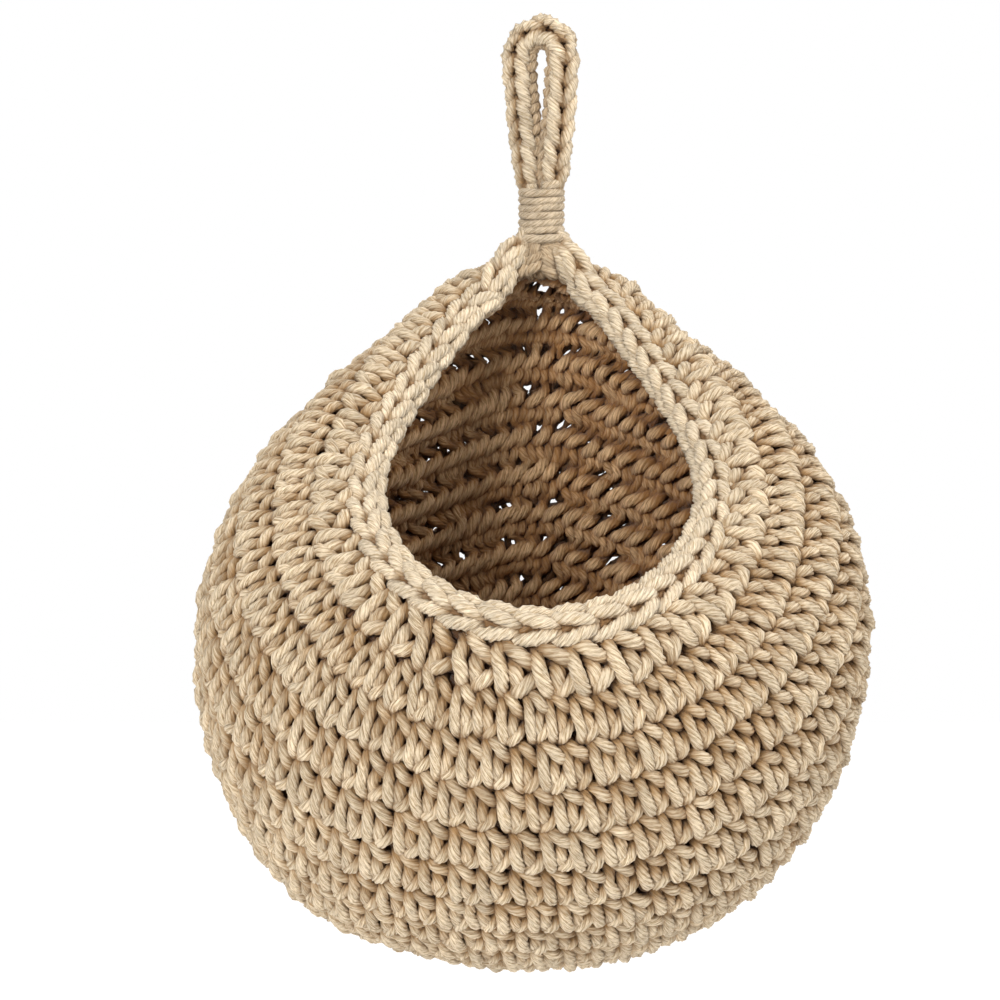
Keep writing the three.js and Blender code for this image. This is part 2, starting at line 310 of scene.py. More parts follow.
def spline(points, samples):
    """Smooth curves through control points: points is curves x controls x 3."""
    count = points.shape[1]
    first = 2 * points[:, :1] - points[:, 1:2]
    last = 2 * points[:, -1:] - points[:, -2:-1]
    padded = np.concatenate([first, points, last], 1)
    t = np.linspace(0, count - 1, samples)
    base = np.minimum(t.astype(int), count - 2)
    f = (t - base)[None, :, None]
    p0, p1, p2, p3 = (padded[:, base + k] for k in range(4))
    return 0.5 * (
        2 * p1 + (p2 - p0) * f + (2 * p0 - 5 * p1 + 4 * p2 - p3) * f ** 2
        + (3 * p1 - p0 - 3 * p2 + p3) * f ** 3
    )


class CordMesh:
    """Collects lengths of twisted cord as one mesh."""

    def __init__(self, seed):
        self.random = np.random.default_rng(seed)
        self.points = []
        self.faces = []
        self.values = {"fibre": [], "groove": [], "tone": [], "shade_depth": [], "warm": []}
        self.count = 0

    def add(self, curves, radius, tone=1.0, warm=0.0, lead=PLY_LEAD, plies=PLIES, taper=0.0,
            out=None, facing=None):
        """Adds tubes along the curves (curves x samples x 3, millimetres). Given how far out of the fabric
        the curves lie and which way it faces, the surface is marked by its depth in the fabric, which the
        material turns into painted shade in the crevices."""
        lengths, samples, _ = curves.shape
        sides = plies * SIDES_PER_PLY
        tangent = unit(np.gradient(curves, axis=1))
        side = unit(np.cross(tangent[:, 0], ODD_DIRECTION))
        frames = [side]
        for step in range(1, samples):
            ahead = tangent[:, step]
            side = unit(side - np.sum(side * ahead, -1, keepdims=True) * ahead)
            frames.append(side)
        side = np.stack(frames, 1)
        third = np.cross(tangent, side)
        step = np.linalg.norm(np.diff(curves, axis=1), axis=-1)
        along = np.concatenate([np.zeros((lengths, 1)), np.cumsum(step, 1)], 1)
        start = self.random.uniform(0, 2 * math.pi, (lengths, 1))
        angle = np.arange(sides) * 2 * math.pi / sides
        groove = (np.arange(sides) % SIDES_PER_PLY == 0).astype(float)
        swing = (start - along * 2 * math.pi / lead)[:, :, None] + angle
        ring = np.cos(swing)[..., None] * side[:, :, None] + np.sin(swing)[..., None] * third[:, :, None]
        swell = 1 - taper * np.abs(np.linspace(-1, 1, samples)) ** 3
        fullness = 1 + PLY_UNEVENNESS * self.random.uniform(-1, 1, (lengths, samples, plies))
        reach = radius * swell[None, :, None] * np.repeat(fullness, SIDES_PER_PLY, 2)
        reach = reach * (1 - GROOVE_DEPTH * groove)
        points = curves[:, :, None] + ring * reach[..., None]
        shape = points.shape[:3]
        # Depth in the fabric, which the material turns into painted shade in the crevices
        if out is None:
            shade_depth = np.zeros(shape)
        else:
            height = out[:, :, None] + reach * np.sum(ring * facing[:, :, None], -1)
            shade_depth = np.clip(1 - np.abs(height) / SHADE_SHEATH, 0, 1)
        offset = self.random.uniform(0, FIBRE_OFFSETS, (lengths, 1, 1))
        fibre = np.stack(np.broadcast_arrays(
            radius * np.cos(angle)[None, None] + offset,
            radius * np.sin(angle)[None, None] + 0 * offset,
            along[:, :, None],
        ), -1)
        # Each strand's tone, partly painted shade, times a random tone
        tones = tone * self.random.uniform(*TONE_RANGE, (lengths, 1, 1))
        self.points.append(points.reshape(-1, 3))
        self.values["fibre"].append(fibre.reshape(-1))
        self.values["groove"].append(np.broadcast_to(groove, shape).reshape(-1))
        self.values["tone"].append(np.broadcast_to(tones, shape).reshape(-1))
        self.values["shade_depth"].append(shade_depth.reshape(-1))
        self.values["warm"].append(np.full(shade_depth.size, warm))
        index = self.count + np.arange(lengths * samples * sides).reshape(lengths, samples, sides)
        beside = np.roll(index, -1, 2)
        quads = np.stack([index[:, :-1], beside[:, :-1], beside[:, 1:], index[:, 1:]], -1)
        self.faces.append(quads.reshape(-1, 4))
        self.faces.append(index[:, 0, ::-1])
        self.faces.append(index[:, -1])
        self.count += lengths * samples * sides

    def make(self, name, material):
        points = np.concatenate(self.points) * MM
        loops = np.concatenate([faces.reshape(-1) for faces in self.faces])
        totals = np.concatenate([np.full(len(faces), faces.shape[1]) for faces in self.faces])
        starts = np.concatenate([[0], np.cumsum(totals)[:-1]])
        mesh = bpy.data.meshes.new(name)
        mesh.vertices.add(len(points))
        mesh.vertices.foreach_set("co", points.astype(np.float32).reshape(-1))
        mesh.loops.add(len(loops))
        mesh.loops.foreach_set("vertex_index", loops.astype(np.int32))
        mesh.polygons.add(len(totals))
        mesh.polygons.foreach_set("loop_start", starts.astype(np.int32))
        mesh.polygons.foreach_set("loop_total", totals.astype(np.int32))
        mesh.polygons.foreach_set("use_smooth", np.ones(len(totals), bool))
        for label, values in self.values.items():
            kind = "FLOAT_VECTOR" if label == "fibre" else "FLOAT"
            field = "vector" if label == "fibre" else "value"
            attribute = mesh.attributes.new(label, kind, "POINT")
            attribute.data.foreach_set(field, np.concatenate(values).astype(np.float32))
        mesh.update(calc_edges=True)
        mesh.validate()
        mesh.materials.append(material)
        obj = bpy.data.objects.new(name, mesh)
        bpy.context.scene.collection.objects.link(obj)
        return obj


# Stitches of the wall. Each length of cord in one stitch has a radius, a tone, which is partly painted
# shade or light, a warm tint of painted shade and control points: share along the course, share up the
# course, and millimetres out from the middle of the wall.
# Outside: the post, the bar that hooks over from its top, the short strand beside it, the leg that
# branches off the next post, and the loop between this course and the next, which is darker and warmer
# as painted shade where the courses meet.
OUTSIDE_STITCH = [
    (2.2, 1.0, 0.0, [(-0.04, 1.08, -1.4), (0.0, 0.96, 1.0), (0.04, 0.78, 3.2), (0.12, 0.5, 4.8),
                     (0.2, 0.25, 5.2), (0.27, 0.06, 3.0), (0.3, -0.06, -0.8)]),
    (2.25, 0.98, 0.0, [(0.06, 1.12, -1.0), (0.2, 1.03, 2.0), (0.42, 0.91, 3.9), (0.66, 0.77, 3.8),
                       (0.86, 0.65, 2.0), (1.0, 0.56, -0.8)]),
    (2.3, 0.98, 0.0, [(0.44, 0.72, -0.8), (0.5, 0.58, 2.2), (0.54, 0.4, 3.8), (0.56, 0.22, 3.4),
                      (0.58, 0.06, 0.6)]),
    (2.2, 1.0, 0.0, [(1.08, 0.46, 0.2), (0.96, 0.36, 2.4), (0.77, 0.22, 4.5), (0.59, 0.1, 3.8),
                     (0.47, -0.04, 0.2)]),
    (1.9, 0.6, 0.5, [(0.5, 1.14, -1.4), (0.66, 1.07, 0.0), (0.84, 1.0, 0.4), (1.0, 0.92, -0.8)]),
]
# Inside: the slanting ridge strand and the two strands below it, closer together than outside. All have
# the warm tint of painted shade, and the ridge is a little lighter as painted light.
INSIDE_STITCH = [
    (2.5, 1.06, 1.0, [(1.12, 0.44, -0.8), (0.94, 0.54, -2.9), (0.5, 0.74, -4.2), (0.06, 0.93, -3.2),
                      (-0.12, 1.04, -0.8)]),
    (1.95, 1.0, 1.0, [(0.3, 0.56, -0.8), (0.27, 0.42, -2.6), (0.25, 0.22, -3.4), (0.33, 0.04, -2.2),
                      (0.38, -0.08, -0.2)]),
    (1.95, 1.0, 1.0, [(0.81, 0.5, -0.8), (0.79, 0.38, -2.6), (0.77, 0.2, -3.4), (0.69, 0.03, -2.2),
                      (0.62, -0.08, -0.2)]),
]
INSIDE_CLOSENESS = 1.4
# Core strands in the middle of the wall, darker and warm-tinted as painted shade in the gaps between
# stitches
CORE_HEIGHTS = (0.3, 0.64)
CORE_RADIUS = 2.3
CORE_SHADE = 0.6
STITCH_TAPER = 0.2
# Each course starts this share of a stitch after the one before
STAGGER = 0.37
# Cord is drawn thicker where stitches are wider than usual
USUAL_WIDTH = 9.5
WIDTH_POWER = 0.6
# Random shifts of a whole stitch and of each control point, in the units of the control points
STITCH_SHIFT = np.array([0.08, 0.045, 0.55])
CONTROL_SHIFT = np.array([0.05, 0.035, 0.45])
# Beside the mouth the stitches lie over, so that their posts run level towards it: how far, in stitches, and
# where that begins, in millimetres sideways, in height from the ball's centre and in courses
LEFT_LIE = 1.2
RIGHT_LIE = -0.8
LIE_SIDE = (30, 75)
LIE_HEIGHT = (-20, 30)
LIE_COURSES = (11.5, 14.5)


class Pinholes:
    """Gaps between the courses of the back wall that let light through towards the front, and a larger one
    below the neck. They are longer sideways than in height."""

    SEED = 7
    SHARE = 0.85
    SIZES = (1.1, 2.0)
    REACH = 6.0
    DEPTH = 14.0
    NEAREST = 0.3
    SQUASH = np.array([0.35, 1, 1])
    BACKWARDS = 0.2
    FIRST_COURSE = 6
    NECK_COURSE = 14.8
    NECK_STATION = 4.0
    NECK_SIZE = 4.0

    def __init__(self, surface):
        random = np.random.default_rng(self.SEED)
        self.holes = []
        for course in range(self.FIRST_COURSE, COURSES):
            count = STITCHES[course - 1]
            station = surface.round_stations(course, (np.arange(count) + STAGGER * course) / count)
            points, facing = surface.place(np.full(count, float(course)), station, np.zeros(count))
            chosen = random.random(count) < self.SHARE
            sizes = random.uniform(*self.SIZES, count)
            for point, size in zip(points[chosen & (facing[:, 1] > self.BACKWARDS)], sizes):
                self.holes.append((course, point, unit(point - EYE), size))
        spot = (np.array([value]) for value in (self.NECK_COURSE, self.NECK_STATION, 0.0))
        point = surface.place(*spot)[0][0]
        self.holes.append((round(self.NECK_COURSE), point, unit(point - EYE), self.NECK_SIZE))

    def open(self, points, course):
        """Moves points of a course away from the lines of sight through its holes."""
        for boundary, hole, sight, size in self.holes:
            if boundary not in (course - 1, course):
                continue
            offset = points - hole
            depth = offset @ sight
            across = offset - depth[..., None] * sight
            distance = np.linalg.norm(across * self.SQUASH, axis=-1)
            push = size * np.clip(1 - distance / self.REACH, 0, 1)
            push = push * np.clip(2 - np.abs(depth) / self.DEPTH * 2, 0, 1)
            points = points + across * (push / np.maximum(distance, self.NEAREST))[..., None]
        return points


def lying_over(surface, course, places, count):
    """How far, in stitches, the top of each stitch lies over to the right of its foot."""
    station = surface.round_stations(course - 0.5, places / count)
    middle, _ = surface.place(np.full(len(places), course - 0.5), station, np.zeros(len(places)))
    left = LEFT_LIE * smooth_step(-middle[:, 0], *LIE_SIDE)
    right = RIGHT_LIE * smooth_step(middle[:, 0], *LIE_SIDE)
    high = smooth_step(middle[:, 2] - BALL_CENTRE[2], *LIE_HEIGHT)
    return (left + right) * high * smooth_step(float(course), *LIE_COURSES)


STITCH_SEED = 100


def add_stitches(cord, surface, pinholes, course, count):
    """Adds a course of stitches, outside and inside, and the core strands between them."""
    random = np.random.default_rng(STITCH_SEED + course)
    length = surface.ring_length(course - 0.5)
    for table, closeness in ((OUTSIDE_STITCH, 1.0), (INSIDE_STITCH, INSIDE_CLOSENESS)):
        number = int(round(count * closeness))
        places = np.arange(number) + STAGGER * course
        looseness = (length / count / USUAL_WIDTH) ** WIDTH_POWER
        shift = random.uniform(-1, 1, (number, 3)) * STITCH_SHIFT
        over = lying_over(surface, course, places + 0.5, number)[:, None]
        for radius, tone, warm, controls in table:
            controls = np.array(controls)
            local = random.uniform(-1, 1, (number, len(controls), 3)) * CONTROL_SHIFT
            curves = spline(controls[None] + shift[:, None] + local, 2 * len(controls) - 1)
            beside = places[:, None] + curves[..., 0] + over * (curves[..., 1] - 0.5)
            station = surface.round_stations(course - 0.5, beside / number)
            points, facing = surface.place(course - 1 + curves[..., 1], station, curves[..., 2])
            points = pinholes.open(points, course)
            cord.add(
                points, radius * looseness, tone, warm, taper=STITCH_TAPER,
                out=curves[..., 2], facing=facing,
            )
    for height in CORE_HEIGHTS:
        station = surface.round_stations(course - 0.5, np.linspace(0, 1, 3 * count + 1))
        out = np.zeros((1, len(station)))
        points, facing = surface.place(course - 1 + height + out, station[None], out)
        points = pinholes.open(points, course)
        cord.add(points, CORE_RADIUS, CORE_SHADE, warm=1.0, plies=2, out=out, facing=facing)


# Chain braid along a path

class Ribbon:
    """A path with an outward and a sideways direction, looked up by length along it. The sideways direction
    is square to the others, on the given side."""

    def __init__(self, path, out, side):
        step = np.linalg.norm(np.diff(path, axis=0), axis=1)
        self.at = np.concatenate([[0], np.cumsum(step)])
        self.length = self.at[-1]
        ahead = unit(np.gradient(path, axis=0))
        self.path = path
        self.out = unit(out - np.sum(out * ahead, -1, keepdims=True) * ahead)
        self.side = np.cross(ahead, self.out)
        self.side *= np.sign(np.sum(self.side * side, -1, keepdims=True))

    def look(self, table, along):
        return np.stack([np.interp(along, self.at, table[:, axis]) for axis in range(3)], -1)

    def place(self, along, side, out):
        facing = self.look(self.out, along)
        points = self.look(self.path, along) + self.look(self.side, along) * side[..., None]
        return points + facing * out[..., None], facing


# One link of a chain: radius, tone, warm tint and control points: share of the pitch along, millimetres
# sideways and millimetres out. The strands at the back are darker and warm-tinted as painted shade.
EDGING_LINK = [
    (2.75, 1.0, 0.0, [(-0.36, 3.4, -0.2), (-0.02, 3.9, 2.6), (0.4, 3.0, 4.1), (0.8, 1.6, 3.4),
                      (1.12, 0.6, 0.8)]),
    (2.75, 1.0, 0.0, [(-0.36, -3.4, -0.2), (-0.02, -3.9, 2.6), (0.4, -3.0, 4.1), (0.8, -1.6, 3.4),
                      (1.12, -0.6, 0.8)]),
    (2.5, 0.98, 0.0, [(-0.35, 4.0, 0.0), (0.1, 6.0, 1.6), (0.6, 6.0, 1.9), (1.1, 4.2, 0.2)]),
    (2.1, 0.92, 0.5, [(-0.3, 5.0, 0.0), (0.0, 5.0, -1.8), (0.5, 3.4, -3.2), (1.0, 0.5, -3.4),
                      (1.3, -1.5, -2.0)]),
    (2.2, 0.9, 0.5, [(-0.2, -1.0, -1.6), (0.2, -2.0, -3.2), (0.7, -3.2, -3.2), (1.2, -4.4, -1.4)]),
]
STRAP_LINK = [
    (2.65, 1.0, 0.0, [(-0.4, 3.2, 0.0), (0.0, 3.7, 2.3), (0.5, 2.9, 3.4), (0.95, 1.4, 2.6),
                      (1.25, 0.8, 0.2)]),
    (2.65, 1.0, 0.0, [(-0.4, -3.2, 0.0), (0.0, -3.7, 2.3), (0.5, -2.9, 3.4), (0.95, -1.4, 2.6),
                      (1.25, -0.8, 0.2)]),
    (2.1, 0.7, 0.5, [(-0.1, 3.6, 1.4), (0.1, 5.6, -0.6), (0.35, 3.8, -3.0), (0.6, 0.0, -3.6)]),
    (2.1, 0.7, 0.5, [(0.4, 3.6, 1.4), (0.6, 5.6, -0.6), (0.85, 3.8, -3.0), (1.1, 0.0, -3.6)]),
    (1.9, 0.8, 0.35, [(-0.1, -3.4, 1.4), (0.1, -4.6, -0.6), (0.4, -3.4, -3.0), (0.7, 0.0, -3.6)]),
]
LINK_SHIFT = np.array([0.05, 0.25, 0.25])
END_SPREAD = 0.45


def add_chain(cord, ribbon, pitch, links, seed, shade_sheath, taper, core, core_height, lead, narrowing):
    """Adds links along a ribbon, which narrows towards its ends, and a core strand inside them. The sheath
    in millimetres is added to each strand's depth for painted shade, so a larger one shades less.
    """
    random = np.random.default_rng(seed)
    count = int(round(ribbon.length / pitch))
    pitch = ribbon.length / count
    places = np.arange(count)
    for radius, tone, warm, controls in links:
        controls = np.array(controls)
        local = random.uniform(-1, 1, (count, 1, 3)) * LINK_SHIFT
        curves = spline(controls[None] + local, 2 * len(controls) - 1)
        along = (places[:, None] + curves[..., 0]) * pitch
        ends = [0, narrowing, ribbon.length - narrowing, ribbon.length]
        spread = np.interp(along, ends, [END_SPREAD, 1, 1, END_SPREAD])
        points, _ = ribbon.place(along, curves[..., 1] * spread, curves[..., 2] * spread)
        # Depth from the ribbon's middle, for painted shade in the gaps between links
        outward = points - ribbon.look(ribbon.path, along)
        height = np.linalg.norm(outward, axis=-1) + shade_sheath
        cord.add(points, radius, tone, warm, lead=lead, taper=taper, out=height, facing=unit(outward))
    # Core strand, darker and warm-tinted as painted shade
    along = np.linspace(0, ribbon.length, 3 * count)[None]
    middle = np.full(along.shape, core_height)
    points, facing = ribbon.place(along, 0 * along, middle)
    cord.add(points, core, tone=0.8, warm=0.5, plies=4, out=middle + shade_sheath, facing=facing)


# Materials
# Warm painted shade, multiplied in where light comes off other cord
WARM_SHADE_TINT = (1.0, 0.82, 0.64)
# Painted shade: the colours of cord deep in the fabric and of the darkest crevices
SHADE = (0.33, 0.178, 0.06)
CREVICE_SHADE = (0.14, 0.058, 0.014)
FIBRE_STRETCH = (1.0, 1.0, 0.16)
BUMP_DISTANCE = 0.0014


def cotton(name, light, line):
    """Cotton cord: fine lines along its fibres, painted shade in its grooves and deep in the fabric, and
    warmer, as painted shade, inside the bag, where light comes off other cord."""
    material = bpy.data.materials.new(name)
    material.use_nodes = True
    nodes = material.node_tree.nodes
    links = material.node_tree.links
    nodes.clear()
    output = nodes.new("ShaderNodeOutputMaterial")
    shader = nodes.new("ShaderNodeBsdfPrincipled")
    shader.inputs["Roughness"].default_value = 0.95
    shader.inputs["Specular IOR Level"].default_value = 0.1
    shader.inputs["Sheen Weight"].default_value = 0.12
    shader.inputs["Sheen Roughness"].default_value = 0.6
    links.new(shader.outputs[0], output.inputs[0])

    def attribute(label):
        node = nodes.new("ShaderNodeAttribute")
        node.attribute_name = label
        return node

    def noise(source, scale, detail):
        node = nodes.new("ShaderNodeTexNoise")
        node.inputs["Scale"].default_value = scale
        node.inputs["Detail"].default_value = detail
        links.new(source, node.inputs["Vector"])
        return node.outputs["Fac"]

    def remap(source, low, high, to_low=0.0, to_high=1.0):
        node = nodes.new("ShaderNodeMapRange")
        node.inputs["From Min"].default_value = low
        node.inputs["From Max"].default_value = high
        node.inputs["To Min"].default_value = to_low
        node.inputs["To Max"].default_value = to_high
        links.new(source, node.inputs["Value"])
        return node.outputs["Result"]

    def blend(factor, first, second, kind="MIX"):
        node = nodes.new("ShaderNodeMix")
        node.data_type = "RGBA"
        node.blend_type = kind
        links.new(factor, node.inputs["Factor"])
        for value, socket in ((first, node.inputs["A"]), (second, node.inputs["B"])):
            if isinstance(value, tuple):
                socket.default_value = (*value, 1)
            else:
                links.new(value, socket)
        return node.outputs["Result"]

    def multiply(first, second):
        node = nodes.new("ShaderNodeMath")
        node.operation = "MULTIPLY"
        links.new(first, node.inputs[0])
        links.new(second, node.inputs[1])
        return node.outputs[0]

    fibre = attribute("fibre").outputs["Vector"]
    stretch = nodes.new("ShaderNodeVectorMath")
    stretch.operation = "MULTIPLY"
    stretch.inputs[1].default_value = FIBRE_STRETCH
    links.new(fibre, stretch.inputs[0])
    strands = noise(stretch.outputs[0], 2.8, 4.0)
    patches = noise(fibre, 0.22, 2.0)

    colour = blend(remap(strands, 0.46, 0.66, 0.0, 0.8), light, line)
    # Painted shade between the plies, stronger in some patches than in others
    groove_shade_patches = remap(noise(fibre, 0.5, 2.0), 0.38, 0.64, 0.1, 0.85)
    groove = remap(attribute("groove").outputs["Fac"], 0.2, 1.0)
    colour = blend(multiply(groove, groove_shade_patches), colour, line)
    # Painted shade deep in the fabric, darkest in the crevices
    shade_depth = attribute("shade_depth").outputs["Fac"]
    colour = blend(remap(shade_depth, 0.1, 0.42, 0.0, 0.9), colour, SHADE)
    colour = blend(remap(shade_depth, 0.4, 0.75, 0.0, 0.95), colour, CREVICE_SHADE)
    # Warm painted shade where light comes off other cord
    colour = blend(attribute("warm").outputs["Fac"], colour, WARM_SHADE_TINT, "MULTIPLY")
    scale = nodes.new("ShaderNodeVectorMath")
    scale.operation = "SCALE"
    links.new(colour, scale.inputs[0])
    # Random patches of tone, times each strand's tone, which is partly painted shade
    level = multiply(remap(patches, 0.25, 0.75, 0.88, 1.08), attribute("tone").outputs["Fac"])
    links.new(level, scale.inputs["Scale"])
    links.new(scale.outputs[0], shader.inputs["Base Color"])

    bump = nodes.new("ShaderNodeBump")
    bump.inputs["Strength"].default_value = 0.9
    bump.inputs["Distance"].default_value = BUMP_DISTANCE
    links.new(strands, bump.inputs["Height"])
    links.new(bump.outputs[0], shader.inputs["Normal"])
    return material


# Each cotton has a light colour and a line colour for its fibre lines; the line colour also serves as
# painted shade between the plies
wall_cotton = cotton("wall_cotton", (0.78, 0.64, 0.45), (0.33, 0.197, 0.075))
# The edging's cotton is lighter than the wall's, partly as painted light where the rim faces up towards the
# lamps
edging_cotton = cotton("edging_cotton", (0.87, 0.73, 0.535), (0.44, 0.29, 0.132))
binding_cotton = cotton("binding_cotton", (0.68, 0.55, 0.388), (0.31, 0.2, 0.092))

# Bag wall
surface = BagSurface()
pinholes = Pinholes(surface)


def finish_piece(cord, name, node, body, material):
    obj = cord.make(name, material)
    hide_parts(node)
    if body:
        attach(obj, body)
    return obj


for course in range(1, COURSES + 1):
    node = "base_start" if course == 1 else f"course_{course:02d}"
    cord = CordMesh(course)
    add_stitches(cord, surface, pinholes, course, STITCHES[course - 1])
    finish_piece(cord, f"stitches_{course:02d}", node, "bag", wall_cotton)

# Seeds of the random draws for the edging, the strap, its ends, the binding and the gather
EDGING_SEED = 40
STRAP_SEED = 50
STEM_SEED = 60
BINDING_SEED = 70
GATHER_SEED = 80

# Braided edging: from the binding down the left side of the mouth, round it and up the right side.
# Shares of its width at its middle and near its edge, and the stations at which its right leg joins the rim
EDGING_MIDDLE = 0.5
EDGING_EDGE = 0.9
LEG_STATIONS = np.array([16.0, 22.0, 28.0])
LEG_SAMPLES = 30
# The right leg from inside the binding down to the rim; the left leg also goes further out by these steps
NECK_LEG = np.array([(2.4, 1.0, -72.0), (6.0, -2.2, -80.0), (12.0, -6.0, -86.5)])
LEFT_STEPS = np.array([(0.0, 0.0, 0.0), (1.0, 0.0, 0.0), (2.5, 0.0, 0.0)])
# Which way the legs face at the binding, and on which side of the left leg the mouth is
LEG_FACING = np.array([0.0, -1.0, 0.3])
LEG_INWARD = np.array([1.0, 0.0, -0.7])
MIRROR = np.array([-1, 1, 1])


def edging_ribbon():
    """The edging, down its left leg, round the rim and up its right leg."""
    def along_rim(stations, share):
        return surface.place(np.full(len(stations), COURSES + share), stations, np.zeros(len(stations)))

    stations = np.arange(LEG_STATIONS[-1], surface.stations - LEG_STATIONS[-1] + 1)[::-1]
    path, out = along_rim(stations, EDGING_MIDDLE)
    edge, _ = along_rim(stations, EDGING_EDGE)
    left = NECK_LEG * MIRROR - LEFT_STEPS
    legs = []
    for controls, rim in ((left, surface.stations - LEG_STATIONS), (NECK_LEG, LEG_STATIONS)):
        points = np.vstack([controls, along_rim(rim, EDGING_MIDDLE)[0]])
        legs.append(spline(points[None], LEG_SAMPLES)[0][:-1])
    down, up = legs[0], legs[1][::-1]
    share = np.linspace(0, 1, LEG_SAMPLES - 1)[:, None]
    down_out = LEG_FACING + (out[0] - LEG_FACING) * share
    up_out = LEG_FACING + (out[-1] - LEG_FACING) * share[::-1]
    inward = LEG_INWARD + 0 * down
    return Ribbon(
        np.vstack([down, path, up]),
        np.vstack([down_out, out, up_out]),
        np.vstack([inward, edge - path, inward * MIRROR]),
    )


cord = CordMesh(EDGING_SEED)
add_chain(
    cord, edging_ribbon(), EDGING_PITCH, EDGING_LINK, seed=EDGING_SEED, shade_sheath=0.9, taper=0.5,
    core=2.6, core_height=1.0, lead=15.0, narrowing=30.0,
)
finish_piece(cord, "edging_braid", "mouth_edging", "bag", edging_cotton)

# Strap loop, its ends and the binding
turn = math.radians(LOOP_TURN)


def turned(points):
    """Turns points of the strap about the upright through the hook."""
    x, y, z = points[..., 0], points[..., 1], points[..., 2]
    return np.stack([
        x * math.cos(turn) - y * math.sin(turn),
        x * math.sin(turn) + y * math.cos(turn),
        z,
    ], -1)


# How far the strap's legs are from the middle, below the hook and at the binding, how they draw in on the
# way down, and how much further they are tucked in, between two shares of that way
STRAP_REACH = 9.4
STRAP_FOOT = 4.6
STRAP_DRAW_RATE = 1.2
STRAP_DRAW_POWER = 1.4
STRAP_TUCK = 2.2
TUCK_FADE = (0.82, 0.95)
STRAP_IN_BINDING = 8
STRAP_SAMPLES = 40
STRAP_MIDDLE = np.array([0.0, 0.0, -25.0])
# Which way the strap's face is turned, in degrees: at its left foot, both shoulders and its right foot
STRAP_FACES = [-26, -14, 22, 35]


def strap_ribbon():
    """The strap, up its left leg, over and down its right leg, whose face is turned to the right."""
    arc = np.linspace(math.pi, 0, STRAP_SAMPLES)
    over = np.stack([STRAP_REACH * np.cos(arc), 0 * arc, -EYE_RADIUS + STRAP_REACH * np.sin(arc)], 1)
    down = np.linspace(0, 1, STRAP_SAMPLES)
    drawn = np.clip(down * STRAP_DRAW_RATE, 0, 1) ** STRAP_DRAW_POWER
    reach = STRAP_REACH + (STRAP_FOOT - STRAP_REACH) * drawn
    reach = reach - STRAP_TUCK * smooth_step(down, *TUCK_FADE)
    height = -EYE_RADIUS + (BINDING_TOP - STRAP_IN_BINDING + EYE_RADIUS) * down
    right = np.stack([reach, 0 * down, height], 1)[1:]
    left = (right * MIRROR)[::-1]
    path = np.vstack([left, over, right])
    turns = [0, len(left), len(left) + STRAP_SAMPLES, len(path)]
    face = np.radians(np.interp(np.arange(len(path)), turns, STRAP_FACES))
    out = np.stack([np.sin(face), -np.cos(face), 0 * face], 1)
    inward = STRAP_MIDDLE - path
    return Ribbon(turned(path), turned(out), turned(inward))


cord = CordMesh(STRAP_SEED)
add_chain(
    cord, strap_ribbon(), STRAP_PITCH, STRAP_LINK, seed=STRAP_SEED, shade_sheath=0.5, taper=0.35,
    core=2.2, core_height=-0.8, lead=12.0, narrowing=18.0,
)
strap = finish_piece(cord, "strap_braid", "hanging_loop", None, edging_cotton)
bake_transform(strap)

# Strands of a strap's end inside the binding: millimetres sideways and back from the middle
STEM_STRANDS = ((3.6, -2.7), (3.6, 2.7), (2.4, 0.0))
STEM_RADIUS = 2.4
STEM_LIFT = 1
STEM_SAMPLES = 14
for name, sign in (("stem_right", 1), ("stem_left", -1)):
    cord = CordMesh(STEM_SEED + sign)
    height = np.linspace(BINDING_TOP + STEM_LIFT, SWING_HEIGHT + STEM_LIFT, STEM_SAMPLES)
    for sideways, back in STEM_STRANDS:
        line = np.stack([0 * height + sign * sideways, 0 * height + back, height], 1)
        cord.add(line[None], STEM_RADIUS)
    finish_piece(cord, f"{name}_cords", name, "neck", edging_cotton)

# The winding is a little wider than deep, flares at its last turn, lies aslant and waves a little
cord = CordMesh(BINDING_SEED)
TURNS = 7.4
SAMPLES_PER_TURN = 30
BINDING_CORD = 1.75
BINDING_LEAD = 14.0
BINDING_REACH = 7.1
BINDING_EXTRA_WIDTH = 0.5
BINDING_FLARE = 2.2
FLARE_SHARE = 0.16
BINDING_FIRST = BINDING_TOP + 0.8
BINDING_LAST = SWING_HEIGHT + 1.7
SLANT_SIDEWAYS = 0.12
SLANT_BACK = 0.1
WAVE = 0.3
WAVE_RATE = 1.37
angle = np.linspace(0, TURNS * 2 * math.pi, int(TURNS * SAMPLES_PER_TURN))
fall = angle / angle[-1]
reach = BINDING_REACH + BINDING_FLARE * np.clip((fall - 1) / FLARE_SHARE + 1, 0, 1)
helix = np.stack([
    (reach + BINDING_EXTRA_WIDTH) * np.sin(angle),
    -reach * np.cos(angle),
    BINDING_FIRST + (BINDING_LAST - BINDING_FIRST) * fall,
], 1)
slant = SLANT_BACK * helix[:, 1] + SLANT_SIDEWAYS * helix[:, 0]
helix[:, 2] += slant + WAVE * np.sin(WAVE_RATE * angle)
cord.add(helix[None], BINDING_CORD, lead=BINDING_LEAD)
finish_piece(cord, "binding_winding", "neck_binding", "neck", binding_cotton)

# Gathered top below the binding: strands that run from the binding down to the mouth's top, and rows of
# short strands over them that slant outwards from the middle. All are darkened and warm-tinted as painted
# shade, the strands behind the rows most.
cord = CordMesh(GATHER_SEED)
GATHER_STRANDS = 7
GATHER_HALF_WIDTH = 11.0
GATHER_DEPTH = 4.5
GATHER_ROUNDNESS = 0.6
GATHER_BACK_RADIUS = 2.3
